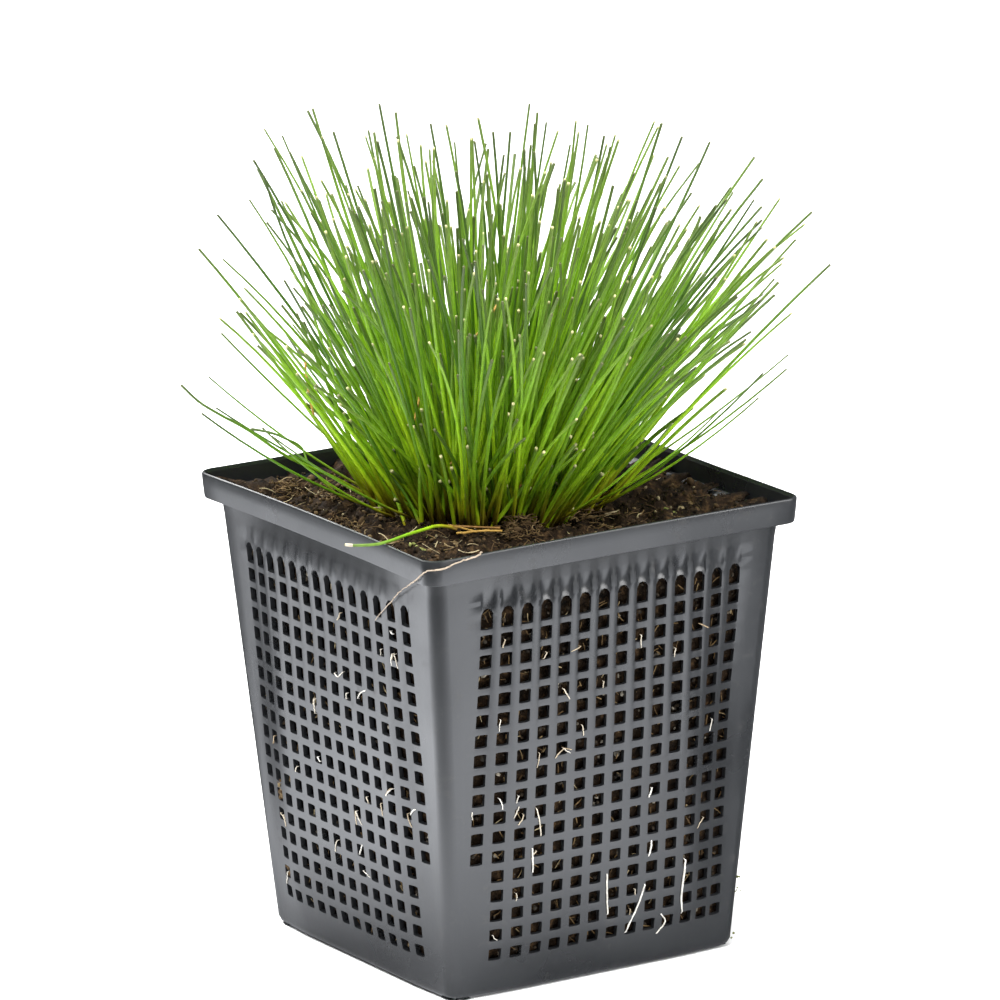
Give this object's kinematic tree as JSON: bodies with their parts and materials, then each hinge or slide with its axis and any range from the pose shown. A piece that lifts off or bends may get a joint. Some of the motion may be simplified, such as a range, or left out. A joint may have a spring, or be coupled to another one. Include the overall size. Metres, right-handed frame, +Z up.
{
  "type": "potted fiber optic grass",
  "caption": "Square tapered mesh pond basket filled with peat, holding a dense fountain-shaped tuft of thin round green grass stems, some of them loose over the rim.",
  "frame": {"origin": "centre of the basket's underside, on the surface that the pot stands on", "axes": "+Z up out of the pot, X and Y square to the basket's sides; the sides towards -X and -Y are the two that the picture shows"},
  "size_m": [0.1271, 0.1284, 0.1745],
  "materials": {
    "basket": "satin dark blue-grey injection moulded plastic",
    "peat": "moist dark brown fibrous peat",
    "grass": "fresh bright green round stems with a slight sheen",
    "dry_straw": "dry yellow-orange straw",
    "root": "pale thin root"
  },
  "bodies": {
    "root": {"basket": "basket", "soil": "peat", "grass_tuft": "grass", "outer_stem_01": "grass", "outer_stem_02": "grass", "outer_stem_03": "grass", "outer_stem_04": "grass", "outer_stem_05": "grass", "outer_stem_06": "grass", "outer_stem_07": "grass", "outer_stem_08": "grass", "outer_stem_09": "grass", "outer_stem_10": "grass", "outer_stem_11": "grass", "outer_stem_12": "grass", "outer_stem_13": "grass", "outer_stem_14": "grass", "outer_stem_15": "grass", "outer_stem_16": "grass", "outer_stem_17": "grass", "outer_stem_18": "grass", "outer_stem_19": "grass", "outer_stem_20": "grass", "fallen_stem": "grass", "straw_long": "dry_straw", "straw_short": "dry_straw", "surface_root": "root"}
  },
  "joints": []
}
